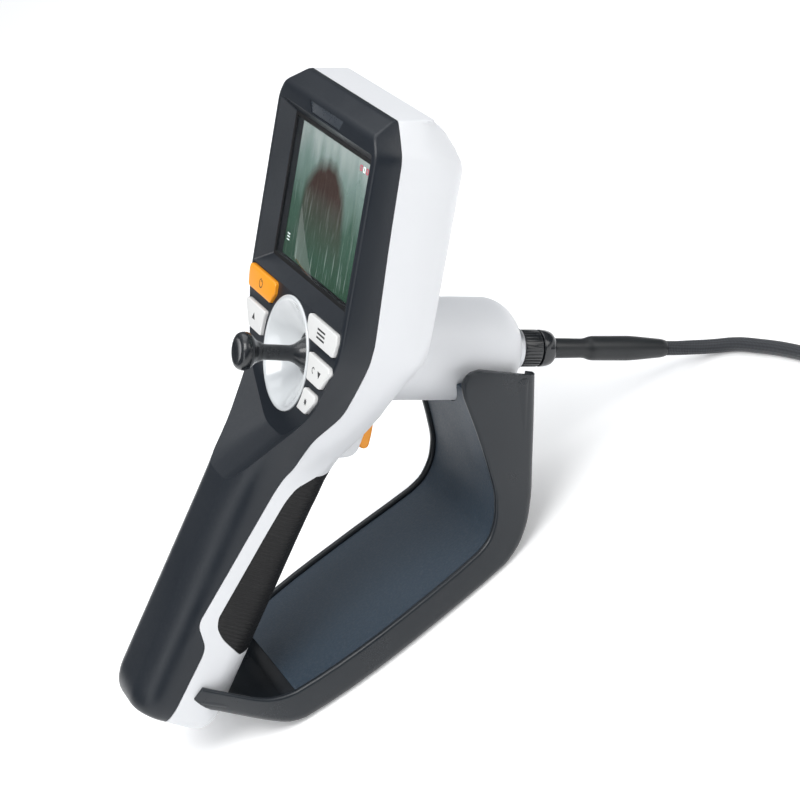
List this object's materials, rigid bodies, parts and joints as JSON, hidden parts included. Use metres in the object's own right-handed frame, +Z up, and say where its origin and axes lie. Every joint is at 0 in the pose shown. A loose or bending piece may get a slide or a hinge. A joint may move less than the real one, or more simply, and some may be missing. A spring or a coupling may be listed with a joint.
{
  "type": "inspection camera",
  "caption": "Handheld inspection camera with a tilted screen, steering joystick, keys, trigger, magnetic hand guard and a coiled steerable probe cable.",
  "frame": {"origin": "centre of the guard's flat magnetic base, on the surface it stands on", "axes": "+Z up, square to the base; +X along the base towards the barrel's end and the probe; +Y to the left of a user facing the screen"},
  "size_m": [0.3788, 0.1747, 0.1901],
  "materials": {
    "cover_dark": "fine satin moulding",
    "shell_white": "fine satin moulding",
    "guard_slate": "fine-grained moulding",
    "rubber_black": "textured, matt",
    "key_white": "satin",
    "key_orange": "satin",
    "dish_white": "soft gloss",
    "stick_dark": "soft gloss",
    "screen_clear": "clear",
    "screen_picture": "lit picture",
    "badge_dark": "satin",
    "circuit_green": "solder mask",
    "battery_can": "wrapped",
    "plain_steel": "turned",
    "magnet_nickel": "plated",
    "wire_steel": "drawn",
    "coupling_black": "gloss",
    "cable_braid": "braided sleeve",
    "tip_metal": "bead blasted",
    "lens_clear": "clear",
    "led_white": "clear"
  },
  "bodies": {
    "camera_body": {"front_cover": "cover_dark", "rear_shell": "shell_white", "badge_plate": "badge_dark", "screen_gasket": "rubber_black", "screen_window": "screen_clear", "screen_panel": "screen_picture", "main_board": "circuit_green", "key_board": "circuit_green", "key_mat": "rubber_black", "grip_pad": "rubber_black", "battery_pack": "battery_can", "battery_clip": "coupling_black", "guard_frame": "guard_slate", "guard_liner": "guard_slate", "base_magnets": "magnet_nickel", "housing_screws": "plain_steel", "joystick_dish": "dish_white", "gimbal_cup": "coupling_black", "wire_bracket": "plain_steel", "wire_guides": "wire_steel", "trigger_pin": "plain_steel", "trigger_spring": "plain_steel", "trigger_switch": "coupling_black", "port_pin": "plain_steel", "port_board": "circuit_green", "barrel_socket": "coupling_black", "coupling_shell": "coupling_black", "strain_relief": "rubber_black", "probe_cable": "cable_braid", "probe_coil": "cable_braid", "probe_tail": "cable_braid", "tip_collar": "tip_metal"},
    "gimbal": {"gimbal_ring": "plain_steel"},
    "stick": {"joystick_lever": "stick_dark", "joystick_knob": "stick_dark"},
    "trigger_blade": {"trigger": "key_orange"},
    "nut": {"coupling_nut": "coupling_black"},
    "port_flap": {"port_cover": "rubber_black"},
    "tip_head": {"camera_head": "tip_metal", "camera_lens": "lens_clear", "camera_leds": "led_white"},
    "power_button": {"power_key": "key_orange"},
    "menu_button": {"menu_key": "key_white"},
    "up_button": {"up_key": "key_white"},
    "down_button": {"down_key": "key_white"},
    "lamp_button": {"lamp_key": "key_white"},
    "link_1": {"bending_link_1": "tip_metal"},
    "link_2": {"bending_link_2": "tip_metal"},
    "link_3": {"bending_link_3": "tip_metal"},
    "link_4": {"bending_link_4": "tip_metal"},
    "link_5": {"bending_link_5": "tip_metal"}
  },
  "joints": [
    {"name": "power_press", "type": "slide", "parent": "camera_body", "child": "power_button", "axis": [0.7431, 0, -0.6691], "range_m": [0, 0.0009], "stiffness_N_per_m": 400, "springref_m": -0.0006},
    {"name": "menu_press", "type": "slide", "parent": "camera_body", "child": "menu_button", "axis": [0.7431, 0, -0.6691], "range_m": [0, 0.0009], "stiffness_N_per_m": 400, "springref_m": -0.0006},
    {"name": "up_press", "type": "slide", "parent": "camera_body", "child": "up_button", "axis": [0.7431, 0, -0.6691], "range_m": [0, 0.0009], "stiffness_N_per_m": 400, "springref_m": -0.0006},
    {"name": "down_press", "type": "slide", "parent": "camera_body", "child": "down_button", "axis": [0.7431, 0, -0.6691], "range_m": [0, 0.0009], "stiffness_N_per_m": 400, "springref_m": -0.0006},
    {"name": "lamp_press", "type": "slide", "parent": "camera_body", "child": "lamp_button", "axis": [0.7431, 0, -0.6691], "range_m": [0, 0.0009], "stiffness_N_per_m": 400, "springref_m": -0.0006},
    {"name": "stick_updown", "type": "hinge", "parent": "camera_body", "child": "gimbal", "pos_m": [0.04052, 0, 0.10763], "axis": [0, 1, 0], "range_deg": [-18, 18], "stiffness_Nm_per_rad": 0.08},
    {"name": "stick_side", "type": "hinge", "parent": "gimbal", "child": "stick", "pos_m": [0.04052, 0, 0.10763], "axis": [0.6691, 0, 0.7431], "range_deg": [-18, 18], "stiffness_Nm_per_rad": 0.08},
    {"name": "trigger_pull", "type": "hinge", "parent": "camera_body", "child": "trigger_blade", "pos_m": [0.04092, 0, 0.08103], "axis": [0, 1, 0], "range_deg": [0, 11], "stiffness_Nm_per_rad": 0.15, "springref_deg": -5.73},
    {"name": "nut_turn", "type": "hinge", "parent": "camera_body", "child": "nut", "pos_m": [0.1075, 0, 0.05588], "axis": [0.7716, 0, -0.6361], "continuous": true},
    {"name": "port_open", "type": "hinge", "parent": "camera_body", "child": "port_flap", "pos_m": [0.06093, 0.0502, 0.12357], "axis": [-0.7431, 0, 0.6691], "range_deg": [0, 95]},
    {"name": "tip_bend_1", "type": "hinge", "parent": "camera_body", "child": "link_1", "pos_m": [0.276, -0.029, 0.0032], "axis": [0, 0, 1], "range_deg": [-18, 18]},
    {"name": "tip_bend_2", "type": "hinge", "parent": "link_1", "child": "link_2", "pos_m": [0.276, -0.0225, 0.0032], "axis": [0, 0, 1], "range_deg": [-18, 18]},
    {"name": "tip_bend_3", "type": "hinge", "parent": "link_2", "child": "link_3", "pos_m": [0.276, -0.016, 0.0032], "axis": [0, 0, 1], "range_deg": [-18, 18]},
    {"name": "tip_bend_4", "type": "hinge", "parent": "link_3", "child": "link_4", "pos_m": [0.276, -0.0095, 0.0032], "axis": [0, 0, 1], "range_deg": [-18, 18]},
    {"name": "tip_bend_5", "type": "hinge", "parent": "link_4", "child": "link_5", "pos_m": [0.276, -0.003, 0.0032], "axis": [0, 0, 1], "range_deg": [-18, 18]},
    {"name": "tip_bend_6", "type": "hinge", "parent": "link_5", "child": "tip_head", "pos_m": [0.276, 0.0035, 0.0032], "axis": [0, 0, 1], "range_deg": [-18, 18]}
  ],
  "couplings": [
    {"joint": "tip_bend_1", "follows": "stick_side", "ratio": 1},
    {"joint": "tip_bend_2", "follows": "stick_side", "ratio": 1},
    {"joint": "tip_bend_3", "follows": "stick_side", "ratio": 1},
    {"joint": "tip_bend_4", "follows": "stick_side", "ratio": 1},
    {"joint": "tip_bend_5", "follows": "stick_side", "ratio": 1},
    {"joint": "tip_bend_6", "follows": "stick_side", "ratio": 1}
  ]
}
